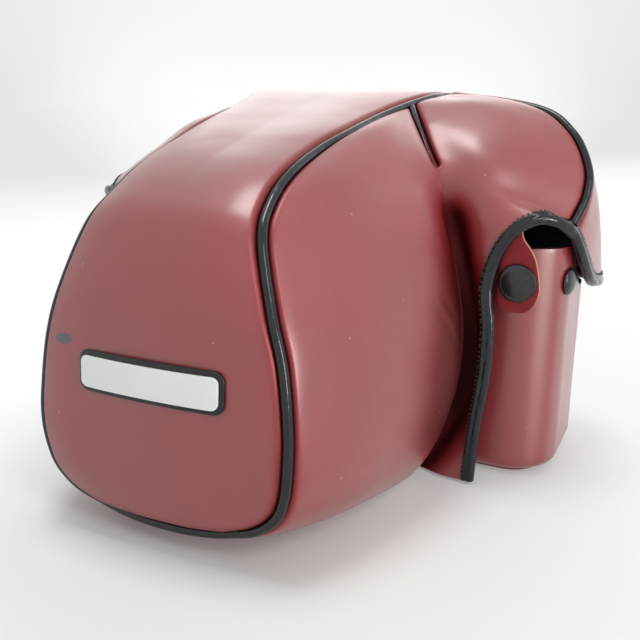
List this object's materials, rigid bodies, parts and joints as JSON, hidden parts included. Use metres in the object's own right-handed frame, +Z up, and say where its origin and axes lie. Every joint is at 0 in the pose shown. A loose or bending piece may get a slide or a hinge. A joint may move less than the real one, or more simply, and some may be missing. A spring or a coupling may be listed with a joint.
{
  "type": "ever ready camera case",
  "caption": "Burgundy leather ever ready camera case with a long lens nose: stiff half case, drop front cover with piped seams, press stud tabs and captive camera screw.",
  "frame": {"origin": "middle of the underside of the half case, on the camera screw's axis, on the floor", "axes": "+X to the case's left end, +Y to the back, +Z up; the nose points to -Y"},
  "size_m": [0.1634, 0.1323, 0.1066],
  "materials": {
    "leather": "semi-gloss smooth burgundy leather",
    "lining": "short dark felt",
    "vinyl": "glossy black",
    "stud": "gloss black enamel",
    "metal": "satin nickel",
    "board": "brown fibre board",
    "plate": "pale satin"
  },
  "bodies": {
    "half_case": {"half_wall": "leather", "half_lining": "lining", "base_leather": "leather", "base_board": "board", "base_felt": "lining", "hinge_strip": "leather", "snap_stud_left": "stud", "snap_stud_right": "stud", "corner_stud_left": "stud", "corner_stud_right": "stud"},
    "camera_screw": {"screw_knob": "metal", "screw_ring": "metal"},
    "cover": {"front_panel": "leather", "nose_side_left": "leather", "nose_side_right": "leather", "nose_floor": "leather", "shoulder_left": "leather", "shoulder_right": "leather", "rear_panel_left": "leather", "rear_panel_right": "leather", "front_piping": "vinyl", "gusset_piping_left": "vinyl", "gusset_piping_right": "vinyl", "rear_piping_left": "vinyl", "rear_piping_right": "vinyl", "edge_binding_left": "vinyl", "edge_binding_right": "vinyl", "plate_back": "vinyl", "plate_face": "plate", "tab_root_left": "leather", "tab_root_right": "leather"},
    "tab_left": {"snap_tab_left": "leather", "snap_cap_left": "stud", "snap_socket_left": "metal"},
    "tab_right": {"snap_tab_right": "leather", "snap_cap_right": "stud", "snap_socket_right": "metal"}
  },
  "joints": [
    {"name": "cover_drop", "type": "hinge", "parent": "half_case", "child": "cover", "pos_m": [0, -0.0288, 0.0013], "axis": [1, 0, 0], "range_deg": [0, 100]},
    {"name": "tab_left_lift", "type": "hinge", "parent": "cover", "child": "tab_left", "pos_m": [0.0646, -0.02615, 0.0665], "axis": [-1, 0, 0], "range_deg": [0, 60]},
    {"name": "tab_right_lift", "type": "hinge", "parent": "cover", "child": "tab_right", "pos_m": [-0.0646, -0.02615, 0.0665], "axis": [-1, 0, 0], "range_deg": [0, 60]},
    {"name": "screw_turn", "type": "hinge", "parent": "half_case", "child": "camera_screw", "pos_m": [0, 0, 0.005], "axis": [0, 0, 1], "continuous": true}
  ]
}
